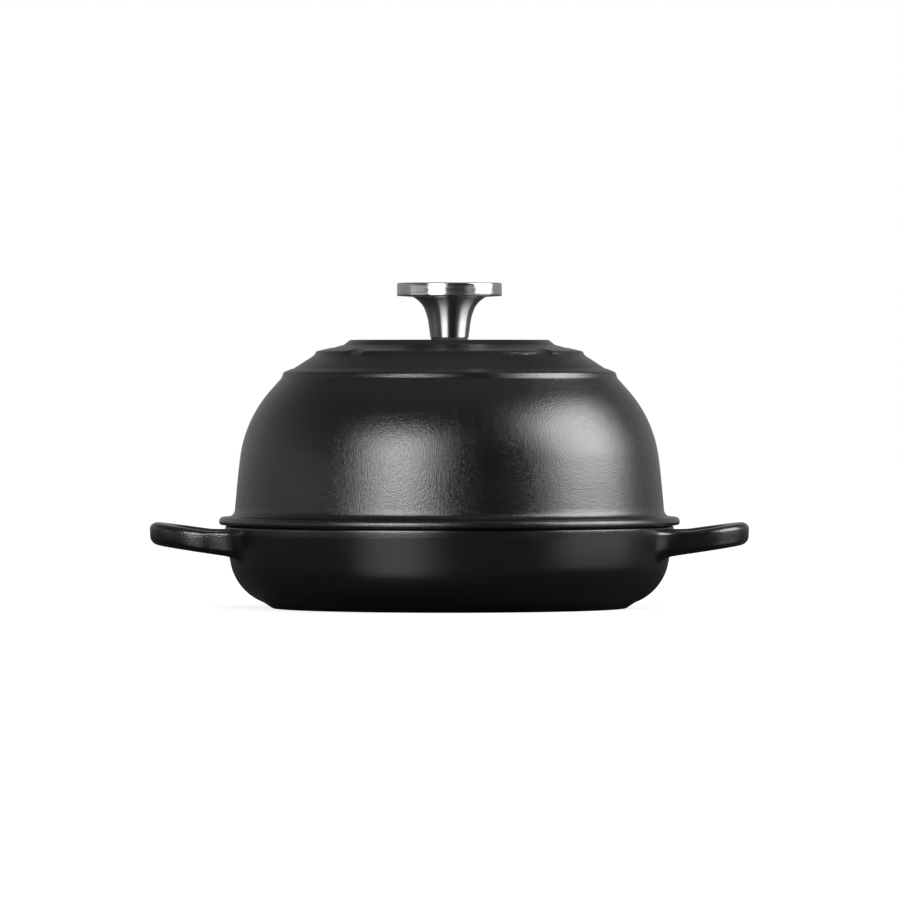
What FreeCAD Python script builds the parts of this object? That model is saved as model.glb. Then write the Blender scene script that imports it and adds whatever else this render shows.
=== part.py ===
# Bread cloche: a shallow cast-iron pan with two loop handles, a domed lid and a screwed steel knob.
# Millimetres and degrees. Z is up, X runs from handle to handle, and the origin lies on the table
# under the middle of the pan.
import FreeCAD, Part
import math
import os

# Pan
RIM_RADIUS = 119.0          # outside of the pan's rim
RIM_HEIGHT = 43.9           # table to the flat top of the rim, where the lid rests
RIM_ROUND = 1.3             # outer edge of the rim
PAN_WALL = 4.5
PAN_DRAFT = 8.2             # lean of the side wall
PAN_CORNER = 27.8           # outside curve from the wall to the underside
PAN_INNER_CORNER = 25.0     # inside curve from the wall to the floor
PAN_FLOOR = 5.2             # thickness of the floor
UNDERSIDE_SLOPE = 24.0      # underside beside the foot, above level
FOOT_SET_IN = 25.1          # from the rim in to the edge of the foot
FOOT_HEIGHT = 3.3
FOOT_FLARE = 5.0            # how much wider the foot is where it meets the underside
FOOT_RING_WIDTH = 14.0      # flat ring that stands on the table
FOOT_RECESS = 0.8           # depth of the underside inside that ring
FOOT_ROUND = 1.2            # edges of the foot

# Ridges that hold the loaf off the pan's floor, as many as its flat part has room for
RIDGE_PITCH = 12.5
RIDGE_MARGIN = 6.0          # flat floor left outside the last ridge
RIDGE_WIDTH = 5.0
RIDGE_HEIGHT = 1.1

# Loop handles, cast on the pan
HANDLE_REACH = 39.5         # from the rim to the tip
HANDLE_ROOT_WIDTH = 82.0    # over both arms where they leave the wall
HANDLE_TIP_WIDTH = 77.0     # over both arms at the outer corners
HANDLE_GRIP = 13.5          # width of the bar, seen from above
HANDLE_CORNER = 30.0        # outer corners, seen from above
HANDLE_WEB = 18.0           # hollow curve from the arm to the wall, seen from above
HANDLE_BITE = 12.0          # angle at which that curve runs into the wall
HANDLE_DROP = 2.6           # from the rim down to the top of the arm at the wall
HANDLE_DEPTH = 12.9         # height of the bar
HANDLE_RISE = 8.4           # lift of the bar towards its tip
HANDLE_SHELF = 8.0          # level stretch on top beside the wall
HANDLE_BEND = 12.0          # curve from that level stretch into the lift
HANDLE_ROUND = 4.2          # edges of the bar

# Lid
LID_HEIGHT = 98.3           # rim of the pan to the flat top of the lid
LID_WALL = 4.6
LID_SET_IN = 4.9            # from the pan's rim in to the lid's wall
LID_DRAFT = 5.2
LID_PLAY = 1.2              # gap all round between the lid's lip and the pan
LIP_DEPTH = 3.0             # the lip's reach into the pan
FLANGE_OVERHANG = 3.1       # past the pan's rim
FLANGE_DEPTH = 4.25
FLANGE_LIFT = 0.3           # shadow gap between the flange and the pan's rim
FLANGE_UPPER_ROUND = 1.1
FLANGE_LOWER_ROUND = 0.8
FLANGE_FILLET = 4.0         # hollow corner between the flange and the wall
SEAT_WIDTH = 4.0            # ring on the lid that rests on the rim
DOME_CORNER = 69.5          # curve from the lid's wall to its roof
DOME_SLOPE = 41.5           # lean of the roof where it meets the step

# Stepped crown of the lid: each stretch runs inwards and rises from the end of the one before
STEP_FOOT_RADIUS = 88.9     # where the roof meets the step
STEP_FOOT_ROUND = 2.4       # hollow corner there
STEP_RUN = 0.8
STEP_RISE = 2.9
STEP_EDGE_ROUND = 3.0
LEDGE_RUN = 4.3
LEDGE_RISE = 1.8
QUIRK_RUN = 1.2             # narrow flat at the foot of the cone
QUIRK_RISE = 0.2
CONE_RUN = 14.3             # steep part of the cone
CONE_RISE = 9.2
BROW_CURVE = 25.0
BROW_RUN = 12.4             # flatter part of the cone
BROW_RISE = 3.4
PLINTH_RUN = 3.3            # edge of the flat top that carries the knob
PLINTH_RISE = 2.6
PLINTH_ROUND = 2.0
TOP_WALL = 6.0              # thickness of the flat top
CREASE_ROUND = 0.6          # small hollow corners of the crown

# Raised bars round the crown
BAR_COUNT = 4
BAR_GAP = 7.0               # angle between two bars
BAR_SET_IN = 1.5            # from the bend of the cone in to the middle of the bar
BAR_WIDTH = 8.6
BAR_HEIGHT = 0.5            # above the bend of the cone
BAR_LEAN = 13.0             # fall of the bar's top towards the rim
BAR_END_ROUND = 3.0         # corners, seen from above
BAR_EDGE_ROUND = 0.7        # edges of the top

# Knob and its fixing
GASKET_SET_IN = 0.3         # from the edge of the stem's foot
GASKET_THICKNESS = 1.1
STEM_FOOT_RADIUS = 10.1
TAPER_RUN = 1.55            # slim lower part of the stem
TAPER_RISE = 11.4
TAPER_CURVE = 28.0
THROAT_RUN = 2.95           # where the stem begins to widen
THROAT_RISE = 7.15
THROAT_CURVE = 12.5
FLARE_RUN = 4.8             # widest part, under the cap
FLARE_RISE = 3.05
STEM_EDGE_ROUND = 0.4
SPIGOT_RADIUS = 8.0         # stub on the stem that the cap is pressed on
SPIGOT_HEIGHT = 3.0
CAP_RADIUS = 27.8
CAP_EDGE = 6.6              # height of the cap's brushed edge
CAP_DISH = 0.9              # fall of the cap's underside from its edge to the stem
CAP_UPPER_ROUND = 0.9
CAP_LOWER_ROUND = 1.3
SCREW_RADIUS = 3.0
SCREW_LENGTH = 20.0
SCREW_HEAD_RADIUS = 6.0
SCREW_HEAD_HEIGHT = 3.6
SCREW_HEAD_ROUND = 2.4
SCREW_TIP_ROUND = 0.4
DRIVE_WIDTH = 1.2           # arms of the cross in the screw's head
DRIVE_SPAN = 6.4
DRIVE_DEPTH = 1.8
SCREW_CLEARANCE = 0.3       # hole round the screw in the lid, washers and gasket
THREAD_CLEARANCE = 0.05     # hole round the screw in the stem
SCREW_END_GAP = 1.5         # hole past the screw's tip
WASHER_RADIUS = 9.0
WASHER_THICKNESS = 1.6
SPRING_RADIUS = 5.6
SPRING_THICKNESS = 1.5
SPRING_SLIT = 1.2
SPRING_SLANT = 25.0         # lean of the slit

# Levels and radii shared by the pieces
FOOT_RADIUS = RIM_RADIUS - FOOT_SET_IN
LID_TOP = RIM_HEIGHT + LID_HEIGHT
LID_UNDER = LID_TOP - TOP_WALL
PLINTH_LEVEL = LID_TOP - PLINTH_RISE
BROW_LEVEL = PLINTH_LEVEL - BROW_RISE
CONE_FOOT_LEVEL = BROW_LEVEL - CONE_RISE
LEDGE_LEVEL = CONE_FOOT_LEVEL - QUIRK_RISE
STEP_EDGE_LEVEL = LEDGE_LEVEL - LEDGE_RISE
STEP_FOOT_LEVEL = STEP_EDGE_LEVEL - STEP_RISE
STEP_EDGE_RADIUS = STEP_FOOT_RADIUS - STEP_RUN
LEDGE_RADIUS = STEP_EDGE_RADIUS - LEDGE_RUN
CONE_FOOT_RADIUS = LEDGE_RADIUS - QUIRK_RUN
BROW_RADIUS = CONE_FOOT_RADIUS - CONE_RUN
PLINTH_RADIUS = BROW_RADIUS - BROW_RUN
TOP_RADIUS = PLINTH_RADIUS - PLINTH_RUN
BAR_RADIUS = BROW_RADIUS - BAR_SET_IN
GASKET_RADIUS = STEM_FOOT_RADIUS - GASKET_SET_IN
STEM_FOOT = LID_TOP + GASKET_THICKNESS
WAIST_LEVEL = STEM_FOOT + TAPER_RISE
FLARE_LEVEL = WAIST_LEVEL + THROAT_RISE
STEM_TOP = FLARE_LEVEL + FLARE_RISE
WAIST_RADIUS = STEM_FOOT_RADIUS + TAPER_RUN
FLARE_RADIUS = WAIST_RADIUS + THROAT_RUN
STEM_TOP_RADIUS = FLARE_RADIUS + FLARE_RUN
SPRING_TOP = LID_UNDER - WASHER_THICKNESS
HEAD_TOP = SPRING_TOP - SPRING_THICKNESS
RIM_BORE = RIM_RADIUS - PAN_WALL
HANDLE_TIP = RIM_RADIUS + HANDLE_REACH
HANDLE_TOP = RIM_HEIGHT - HANDLE_DROP
HANDLE_UNDER = HANDLE_TOP - HANDLE_DEPTH
HOLE_RADIUS = SCREW_RADIUS + SCREW_CLEARANCE

AXIS = FreeCAD.Vector(0, 0, 1)
ORIGIN = FreeCAD.Vector(0, 0, 0)
SAME_POINT = 1e-6           # points nearer than this are one


def upright(r, z):
    """A point of a turned profile: r from the axis, z above the table."""
    return FreeCAD.Vector(r, 0, z)


def in_plan(x, y):
    """A point of an outline seen from above."""
    return FreeCAD.Vector(x, y, 0)


def rounded_face(corners, place):
    """Face inside (a, b, radius) corners, each rounded as far as its two sides leave room."""
    points = [place(a, b) for a, b, _ in corners]
    count = len(points)
    towards_last = [(points[i - 1] - points[i]).normalize() for i in range(count)]
    towards_next = [(points[(i + 1) % count] - points[i]).normalize() for i in range(count)]
    half_turns = [(math.pi - towards_last[i].getAngle(towards_next[i])) / 2 for i in range(count)]
    reach = [corners[i][2] * math.tan(half_turns[i]) for i in range(count)]
    share = [1.0] * count
    for i in range(count):
        after = (i + 1) % count
        side = points[i].distanceToPoint(points[after])
        wanted = reach[i] + reach[after]
        if wanted > side:
            share[i] = min(share[i], side / wanted)
            share[after] = min(share[after], side / wanted)
    edges = []
    starts = [points[i] + towards_last[i] * reach[i] * share[i] for i in range(count)]
    ends = [points[i] + towards_next[i] * reach[i] * share[i] for i in range(count)]
    for i in range(count):
        if reach[i] > 0:
            radius = corners[i][2] * share[i]
            inwards = (towards_last[i] + towards_next[i]).normalize()
            middle = points[i] + inwards * radius * (1 / math.cos(half_turns[i]) - 1)
            edges.append(Part.Arc(starts[i], middle, ends[i]).toShape())
        gap_start = ends[i]
        gap_end = starts[(i + 1) % count]
        if gap_start.distanceToPoint(gap_end) > SAME_POINT:
            edges.append(Part.LineSegment(gap_start, gap_end).toShape())
    return Part.Face(Part.Wire(edges))


def turned(corners):
    """Solid of revolution round the Z axis."""
    return rounded_face(corners, upright).revolve(ORIGIN, AXIS, 360)


def disc(radius, low, high):
    """Upright cylinder on the axis."""
    return Part.makeCylinder(radius, high - low, upright(0, low), AXIS)


def ring(outer, inner, low, high):
    """Flat ring on the axis."""
    return disc(outer, low, high).cut(disc(inner, low, high))


def crossing(start, lean, other, other_lean):
    """Where two lines of a profile cross, each through an (r, z) point and leaning inwards by an angle."""
    slope = math.tan(math.radians(lean))
    other_slope = math.tan(math.radians(other_lean))
    z = (start[0] - other[0] + slope * start[1] - other_slope * other[1]) / (slope - other_slope)
    return start[0] - slope * (z - start[1]), z


def radius_at(z, point, lean):
    """Radius at height z of the line through an (r, z) point that leans inwards by an angle."""
    return point[0] - math.tan(math.radians(lean)) * (z - point[1])


def level_at(r, point, fall):
    """Height at radius r of the line through an (r, z) point that falls outwards by an angle."""
    return point[1] - math.tan(math.radians(fall)) * (r - point[0])


def inset_line(point, lean, distance):
    """The (r, z) point moved towards the axis, square to a line that leans inwards by an angle."""
    angle = math.radians(lean)
    return point[0] - distance * math.cos(angle), point[1] - distance * math.sin(angle)


def handle():
    """One loop handle, reaching along +X out of the pan's wall."""
    tip = HANDLE_TIP
    wall_radius = radius_at(HANDLE_UNDER, (RIM_RADIUS, RIM_HEIGHT), -PAN_DRAFT)
    root = math.sqrt(wall_radius**2 - (HANDLE_ROOT_WIDTH / 2)**2)
    arm_angle = math.atan2((HANDLE_ROOT_WIDTH - HANDLE_TIP_WIDTH) / 2, tip - root)
    web_angle = math.atan2(HANDLE_ROOT_WIDTH / 2, root) + math.radians(HANDLE_BITE)
    web = 2 * HANDLE_WEB
    web_end = (root - web * math.sin(web_angle), HANDLE_ROOT_WIDTH / 2 + web * math.cos(web_angle))
    inner_tip = tip - HANDLE_GRIP
    inner_root_half = HANDLE_ROOT_WIDTH / 2 - HANDLE_GRIP / math.cos(arm_angle)
    inner_tip_half = inner_root_half - (inner_tip - root) * math.tan(arm_angle)
    inside = root - web
    inside_half = inner_root_half + web * math.tan(arm_angle)
    inner_corner = HANDLE_CORNER - HANDLE_GRIP
    one_side = [
        (inside, inside_half, 0),
        (inside, web_end[1], 0),
        (*web_end, 0),
        (root, HANDLE_ROOT_WIDTH / 2, HANDLE_WEB),
        (tip, HANDLE_TIP_WIDTH / 2, HANDLE_CORNER),
    ]
    other_side = [(x, -y, radius) for x, y, radius in reversed(one_side)]
    bay = [(inner_tip, -inner_tip_half, inner_corner), (inner_tip, inner_tip_half, inner_corner)]
    plan = rounded_face(one_side + other_side + bay, in_plan)
    slope = math.tan(math.radians(HANDLE_RISE))
    shelf_end = RIM_RADIUS + HANDLE_SHELF
    past_tip = tip + HANDLE_GRIP
    side = rounded_face([
        (inside, HANDLE_UNDER + (inside - RIM_RADIUS) * slope, 0),
        (past_tip, HANDLE_UNDER + (past_tip - RIM_RADIUS) * slope, 0),
        (past_tip, HANDLE_TOP + (past_tip - shelf_end) * slope, 0),
        (shelf_end, HANDLE_TOP, HANDLE_BEND),
        (inside, HANDLE_TOP, 0),
    ], upright)
    side.translate(FreeCAD.Vector(0, -HANDLE_ROOT_WIDTH, 0))
    slab = side.extrude(FreeCAD.Vector(0, 2 * HANDLE_ROOT_WIDTH, 0))
    bar = plan.extrude(AXIS * slab.BoundBox.ZMax).common(slab)
    long_edges = [edge for edge in bar.Edges if edge.BoundBox.XMax > root and not is_upright(edge)]
    return bar.makeFillet(HANDLE_ROUND, long_edges)


def is_upright(edge):
    """Whether an edge runs straight up."""
    return edge.BoundBox.XLength + edge.BoundBox.YLength < edge.BoundBox.ZLength


def base_pan():
    """Pan with its foot, ridged floor and both handles, in one casting."""
    shoulder = (FOOT_RADIUS + FOOT_FLARE, FOOT_HEIGHT)
    rim = (RIM_RADIUS, RIM_HEIGHT)
    corner = crossing(rim, -PAN_DRAFT, shoulder, UNDERSIDE_SLOPE - 90)
    ring_bore = FOOT_RADIUS - FOOT_RING_WIDTH
    outside = turned([
        (0, FOOT_RECESS, 0),
        (ring_bore - FOOT_RECESS, FOOT_RECESS, 0),
        (ring_bore, 0, 0),
        (FOOT_RADIUS, 0, FOOT_ROUND),
        (*shoulder, FOOT_ROUND),
        (*corner, PAN_CORNER),
        (*rim, RIM_ROUND),
        (0, RIM_HEIGHT, 0),
    ])
    floor_edge = radius_at(PAN_FLOOR, (RIM_BORE, RIM_HEIGHT), -PAN_DRAFT)
    floor_curve = PAN_INNER_CORNER * math.tan(math.radians(90 - PAN_DRAFT) / 2)
    room = floor_edge - floor_curve - RIDGE_MARGIN - RIDGE_WIDTH / 2
    floor = [(0, PAN_FLOOR, 0)]
    for i in range(int(room / RIDGE_PITCH)):
        middle = (i + 1) * RIDGE_PITCH
        floor.append((middle - RIDGE_WIDTH / 2, PAN_FLOOR, RIDGE_HEIGHT))
        floor.append((middle, PAN_FLOOR + RIDGE_HEIGHT, RIDGE_WIDTH / 2))
        floor.append((middle + RIDGE_WIDTH / 2, PAN_FLOOR, RIDGE_HEIGHT))
    hollow = turned(floor + [
        (floor_edge, PAN_FLOOR, PAN_INNER_CORNER),
        (RIM_BORE, RIM_HEIGHT, 0),
        (0, RIM_HEIGHT, 0),
    ])
    right = handle()
    left = right.rotated(ORIGIN, AXIS, 180)
    return outside.fuse([right, left]).cut(hollow).removeSplitter()


def crown_bar(low):
    """Raised bar with rounded ends and edges. It starts at +X, and at a level inside the lid's wall."""
    outer = BAR_RADIUS + BAR_WIDTH / 2
    inner = BAR_RADIUS - BAR_WIDTH / 2
    span = 360 / BAR_COUNT - BAR_GAP
    block = Part.makeCylinder(outer, LID_TOP - low, upright(0, low), AXIS, span)
    block = block.cut(disc(inner, low, LID_TOP))
    block = block.makeFillet(BAR_END_ROUND, [edge for edge in block.Edges if is_upright(edge)])
    middle = (BROW_RADIUS, BROW_LEVEL + BAR_HEIGHT)
    roof = turned([
        (0, low, 0),
        (outer, low, 0),
        (outer, level_at(outer, middle, BAR_LEAN), 0),
        (0, level_at(0, middle, BAR_LEAN), 0),
    ])
    bar = block.common(roof)
    top_edges = [edge for edge in bar.Edges if edge.BoundBox.ZMin > low and not is_upright(edge)]
    return bar.makeFillet(BAR_EDGE_ROUND, top_edges)


def dome_lid():
    """Domed lid with its lip, flange, stepped crown and raised bars."""
    lip_radius = RIM_BORE - LID_PLAY
    lip_low = RIM_HEIGHT - LIP_DEPTH
    seat_radius = lip_radius + SEAT_WIDTH
    flange_low = RIM_HEIGHT + FLANGE_LIFT
    flange_top = flange_low + FLANGE_DEPTH
    flange_radius = RIM_RADIUS + FLANGE_OVERHANG
    wall_foot = (RIM_RADIUS - LID_SET_IN, flange_top)
    step_foot = (STEP_FOOT_RADIUS, STEP_FOOT_LEVEL)
    shoulder = crossing(wall_foot, LID_DRAFT, step_foot, DOME_SLOPE)
    brow = (BROW_RADIUS, BROW_LEVEL)
    outside = turned([
        (0, lip_low, 0),
        (lip_radius, lip_low, CREASE_ROUND),
        (lip_radius, RIM_HEIGHT, 0),
        (seat_radius, RIM_HEIGHT, 0),
        (seat_radius, flange_low, 0),
        (flange_radius, flange_low, FLANGE_LOWER_ROUND),
        (flange_radius, flange_top, FLANGE_UPPER_ROUND),
        (*wall_foot, FLANGE_FILLET),
        (*shoulder, DOME_CORNER),
        (*step_foot, STEP_FOOT_ROUND),
        (STEP_EDGE_RADIUS, STEP_EDGE_LEVEL, STEP_EDGE_ROUND),
        (LEDGE_RADIUS, LEDGE_LEVEL, CREASE_ROUND),
        (CONE_FOOT_RADIUS, CONE_FOOT_LEVEL, CREASE_ROUND),
        (*brow, BROW_CURVE),
        (PLINTH_RADIUS, PLINTH_LEVEL, CREASE_ROUND),
        (TOP_RADIUS, LID_TOP, PLINTH_ROUND),
        (0, LID_TOP, 0),
    ])
    cone_lean = math.degrees(math.atan2(CONE_RUN, CONE_RISE))
    inner_foot = inset_line(wall_foot, LID_DRAFT, LID_WALL)
    inner_roof = inset_line(step_foot, DOME_SLOPE, LID_WALL)
    inner_brow = inset_line(brow, cone_lean, LID_WALL)
    inner_shoulder = crossing(inner_foot, LID_DRAFT, inner_roof, DOME_SLOPE)
    inner_step = crossing(inner_roof, DOME_SLOPE, inner_brow, cone_lean)
    inner_top = radius_at(LID_UNDER, inner_brow, cone_lean)
    hollow = turned([
        (0, lip_low, 0),
        (inner_foot[0], lip_low, 0),
        (*inner_foot, 0),
        (*inner_shoulder, DOME_CORNER - LID_WALL),
        (*inner_step, BROW_CURVE),
        (inner_top, LID_UNDER, BROW_CURVE),
        (0, LID_UNDER, 0),
    ])
    bar = crown_bar(inner_step[1])
    bars = []
    for i in range(BAR_COUNT):
        bars.append(bar.rotated(ORIGIN, AXIS, (i - 0.5) * 360 / BAR_COUNT + BAR_GAP / 2))
    hole = disc(HOLE_RADIUS, lip_low, LID_TOP)
    return outside.fuse(bars).cut(hollow).cut(hole).removeSplitter()


def knob_gasket():
    """Thin heat-proof washer between the knob's foot and the enamel."""
    return ring(GASKET_RADIUS, HOLE_RADIUS, LID_TOP, STEM_FOOT)


def knob_stem():
    """Flared stem with a blind hole for the screw and a stub for the cap."""
    stem = turned([
        (0, STEM_FOOT, 0),
        (STEM_FOOT_RADIUS, STEM_FOOT, STEM_EDGE_ROUND),
        (WAIST_RADIUS, WAIST_LEVEL, TAPER_CURVE),
        (FLARE_RADIUS, FLARE_LEVEL, THROAT_CURVE),
        (STEM_TOP_RADIUS, STEM_TOP, 0),
        (SPIGOT_RADIUS, STEM_TOP, 0),
        (SPIGOT_RADIUS, STEM_TOP + SPIGOT_HEIGHT, 0),
        (0, STEM_TOP + SPIGOT_HEIGHT, 0),
    ])
    hole_end = HEAD_TOP + SCREW_LENGTH + SCREW_END_GAP
    return stem.cut(disc(SCREW_RADIUS + THREAD_CLEARANCE, STEM_FOOT, hole_end))


def knob_cap():
    """Disc with a dished underside, bored for the stem's stub."""
    edge_low = STEM_TOP + CAP_DISH
    top = edge_low + CAP_EDGE
    return turned([
        (0, STEM_TOP + SPIGOT_HEIGHT, 0),
        (SPIGOT_RADIUS, STEM_TOP + SPIGOT_HEIGHT, 0),
        (SPIGOT_RADIUS, STEM_TOP, 0),
        (STEM_TOP_RADIUS, STEM_TOP, 0),
        (CAP_RADIUS, edge_low, CAP_LOWER_ROUND),
        (CAP_RADIUS, top, CAP_UPPER_ROUND),
        (0, top, 0),
    ])


def knob_screw():
    """Pan-head screw with a cross in its head, from inside the lid up into the stem."""
    head_low = HEAD_TOP - SCREW_HEAD_HEIGHT
    screw = turned([
        (0, head_low, 0),
        (SCREW_HEAD_RADIUS, head_low, SCREW_HEAD_ROUND),
        (SCREW_HEAD_RADIUS, HEAD_TOP, 0),
        (SCREW_RADIUS, HEAD_TOP, 0),
        (SCREW_RADIUS, HEAD_TOP + SCREW_LENGTH, SCREW_TIP_ROUND),
        (0, HEAD_TOP + SCREW_LENGTH, 0),
    ])
    corner = FreeCAD.Vector(-DRIVE_SPAN / 2, -DRIVE_WIDTH / 2, head_low)
    slot = Part.makeBox(DRIVE_SPAN, DRIVE_WIDTH, DRIVE_DEPTH, corner)
    cross_slot = slot.rotated(ORIGIN, AXIS, 90)
    return screw.cut([slot, cross_slot])


def flat_washer():
    """Washer that spreads the screw's pull on the enamel."""
    return ring(WASHER_RADIUS, HOLE_RADIUS, SPRING_TOP, LID_UNDER)


def spring_washer():
    """Split washer, drawn flat, that keeps the knob tight as the lid heats and cools."""
    band = ring(SPRING_RADIUS, HOLE_RADIUS, HEAD_TOP, SPRING_TOP)
    lean = math.tan(math.radians(SPRING_SLANT)) * SPRING_THICKNESS / 2
    half = SPRING_SLIT / 2
    slit = Part.Face(Part.makePolygon([
        FreeCAD.Vector(0, -half - lean, HEAD_TOP),
        FreeCAD.Vector(0, half - lean, HEAD_TOP),
        FreeCAD.Vector(0, half + lean, SPRING_TOP),
        FreeCAD.Vector(0, -half + lean, SPRING_TOP),
        FreeCAD.Vector(0, -half - lean, HEAD_TOP),
    ]))
    return band.cut(slit.extrude(FreeCAD.Vector(-2 * SPRING_RADIUS, 0, 0)))


PIECES = [base_pan, dome_lid, knob_gasket, knob_stem, knob_cap, knob_screw, flat_washer, spring_washer]

os.makedirs("parts", exist_ok=True)
for make in PIECES:
    solid = make()
    solid.exportStep(os.path.join("parts", make.__name__ + ".step"))
    print(make.__name__, solid.ShapeType, len(solid.Solids), solid.isValid(), round(solid.Volume))
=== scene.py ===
# %% [markdown]
# # A bread cloche in enamelled cast iron and steel
#
# The object is a shallow pan with two loop handles, a domed lid and a flared steel knob. Its solids come
# from a CAD model, which fixes every size and says which pieces move together. This lesson dresses that
# frame. The round pieces are turned on a lathe made of Geometry Nodes, the handles are shaped in mesh code,
# and enamel, steel and rubber get their finish from shader nodes. Z is up and the front faces -Y.

# %% Load the frame
import bpy
import bmesh
import math
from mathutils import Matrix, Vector


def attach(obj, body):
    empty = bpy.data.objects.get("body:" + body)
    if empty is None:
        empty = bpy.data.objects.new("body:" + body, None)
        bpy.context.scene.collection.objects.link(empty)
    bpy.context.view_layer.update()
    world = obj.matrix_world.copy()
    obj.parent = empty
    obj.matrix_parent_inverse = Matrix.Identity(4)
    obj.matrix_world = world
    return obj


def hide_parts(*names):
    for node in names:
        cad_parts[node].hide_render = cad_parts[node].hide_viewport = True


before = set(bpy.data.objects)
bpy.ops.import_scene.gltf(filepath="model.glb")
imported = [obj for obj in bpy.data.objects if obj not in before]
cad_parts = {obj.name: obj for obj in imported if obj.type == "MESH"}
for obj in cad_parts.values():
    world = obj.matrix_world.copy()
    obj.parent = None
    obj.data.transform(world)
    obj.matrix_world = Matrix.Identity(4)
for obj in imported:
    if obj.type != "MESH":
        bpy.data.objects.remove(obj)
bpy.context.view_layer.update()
scene = bpy.context.scene
MM = 0.001

# %% [markdown]
# ## Camera
#
# The photograph looks at the cloche from some way off, level with its crown: the crown's rings are straight
# lines there, while flange and rim below sag a little. A long lens at nearly five metres gives that. The lens
# follows from the distance and the width of the picture at the object, so either can change without reframing.

# %% Camera
PICTURE_WIDTH = 0.477
CAMERA_DISTANCE = 4.8
CAMERA_ELEVATION = math.radians(0.55)
PICTURE_MIDDLE = Vector((0.0003, 0, 0.0838))

camera = bpy.data.cameras.new("camera")
camera.lens = camera.sensor_width * CAMERA_DISTANCE / PICTURE_WIDTH
camera_stand = bpy.data.objects.new("camera", camera)
scene.collection.objects.link(camera_stand)
towards_camera = Vector((0, -math.cos(CAMERA_ELEVATION), math.sin(CAMERA_ELEVATION)))
camera_stand.location = PICTURE_MIDDLE + CAMERA_DISTANCE * towards_camera
camera_stand.rotation_euler = (math.radians(90) - CAMERA_ELEVATION, 0, 0)
scene.camera = camera_stand
scene.view_settings.view_transform = "Standard"
print("lens", round(camera.lens), "mm")

# %% [markdown]
# ## Helpers for node trees
#
# Lathe, finishes and studio are all node trees. A few small helpers keep them readable: one adds a node, one
# joins a socket to another socket or gives it a plain value, and the others write a sum, a change of range, a
# noise, a tint or a bump in one line. The last opens a group with named sockets.

# %% Node helpers
def add_node(tree, kind, **settings):
    """A new node with its properties set."""
    node = tree.nodes.new(kind)
    for name, value in settings.items():
        setattr(node, name, value)
    return node


def feed(tree, source, target):
    """Links an output socket to an input, or sets the input to a plain value."""
    if isinstance(source, bpy.types.NodeSocket):
        tree.links.new(source, target)
    else:
        target.default_value = source


def sum_node(tree, operation, *values):
    """The output of a Math node on sockets or numbers."""
    node = add_node(tree, "ShaderNodeMath", operation=operation)
    for value, socket in zip(values, node.inputs):
        feed(tree, value, socket)
    return node.outputs[0]


def ramp(tree, value, start, end, low, high, change="SMOOTHSTEP"):
    """The output of a Map Range node: low up to start, high from end on, and a change between them."""
    node = add_node(tree, "ShaderNodeMapRange", interpolation_type=change)
    feed(tree, value, node.inputs["Value"])
    for number, name in ((start, "From Min"), (end, "From Max"), (low, "To Min"), (high, "To Max")):
        feed(tree, number, node.inputs[name])
    return node.outputs["Result"]


def noise(tree, place, scale, detail):
    """The output of a Noise node."""
    node = add_node(tree, "ShaderNodeTexNoise", noise_dimensions="3D")
    for value, name in ((place, "Vector"), (scale, "Scale"), (detail, "Detail")):
        feed(tree, value, node.inputs[name])
    return node.outputs["Fac"]


def tint(tree, colour, dark, pale, factor):
    """The output of a Mix node that goes from a dark to a pale multiple of a colour."""
    node = add_node(tree, "ShaderNodeMix", data_type="RGBA")
    for share, name in ((dark, "A"), (pale, "B")):
        node.inputs[name].default_value = (*[share * part for part in colour], 1)
    feed(tree, factor, node.inputs["Factor"])
    return node.outputs["Result"]


def bump(tree, height, depth):
    """The normal from a Bump node, for a height of 0 to 1 that stands for a depth in metres."""
    node = add_node(tree, "ShaderNodeBump")
    node.inputs["Distance"].default_value = depth
    feed(tree, height, node.inputs["Height"])
    return node.outputs["Normal"]


def open_group(name, kind, inputs, outputs):
    """A new node group with named sockets. Returns the tree, what comes in and where results go."""
    tree = bpy.data.node_groups.new(name, kind)
    for socket_name, socket_type in inputs:
        tree.interface.new_socket(socket_name, in_out="INPUT", socket_type=socket_type)
    for socket_name, socket_type in outputs:
        tree.interface.new_socket(socket_name, in_out="OUTPUT", socket_type=socket_type)
    return tree, add_node(tree, "NodeGroupInput").outputs, add_node(tree, "NodeGroupOutput").inputs


# %% [markdown]
# ## Shared finish: enamel grain
#
# Vitreous enamel is sprayed on the iron and melts to a glass skin that is never quite level. Seen close, it
# has a fine orange peel with grains of under a millimetre, which breaks the edge of every highlight. Two sizes
# of noise give that height, and a slow third one lets the gloss drift as it does on a fired casting. Pan and
# lid both use it, so it is one shader group that each material feeds with its own values.

# %% Enamel grain group
FINE_RATIO, FINE_SHARE = 2.3, 0.2
CLOUDS_PER_METRE = 28.0


def enamel_grain_group():
    """Fine orange peel: a height for bump, a slow drift for gloss and a speck for colour."""
    tree, given, result = open_group(
        "enamel_grain", "ShaderNodeTree",
        [("Place", "NodeSocketVector"), ("Grains per Metre", "NodeSocketFloat"), ("Drift", "NodeSocketFloat")],
        [("Height", "NodeSocketFloat"), ("Gloss Drift", "NodeSocketFloat"), ("Speck", "NodeSocketFloat")])
    place, grains = given["Place"], given["Grains per Metre"]
    peel = noise(tree, place, grains, 1.5)
    fine = noise(tree, place, sum_node(tree, "MULTIPLY", grains, FINE_RATIO), 2.0)
    slow = noise(tree, place, CLOUDS_PER_METRE, 3.0)
    feed(tree, sum_node(tree, "MULTIPLY_ADD", fine, FINE_SHARE, peel), result["Height"])
    centred = sum_node(tree, "SUBTRACT", slow, 0.5)
    feed(tree, sum_node(tree, "MULTIPLY", centred, given["Drift"]), result["Gloss Drift"])
    feed(tree, fine, result["Speck"])
    return tree


ENAMEL_GRAIN = enamel_grain_group()
print("group", ENAMEL_GRAIN.name, "with", len(ENAMEL_GRAIN.nodes), "nodes")

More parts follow.
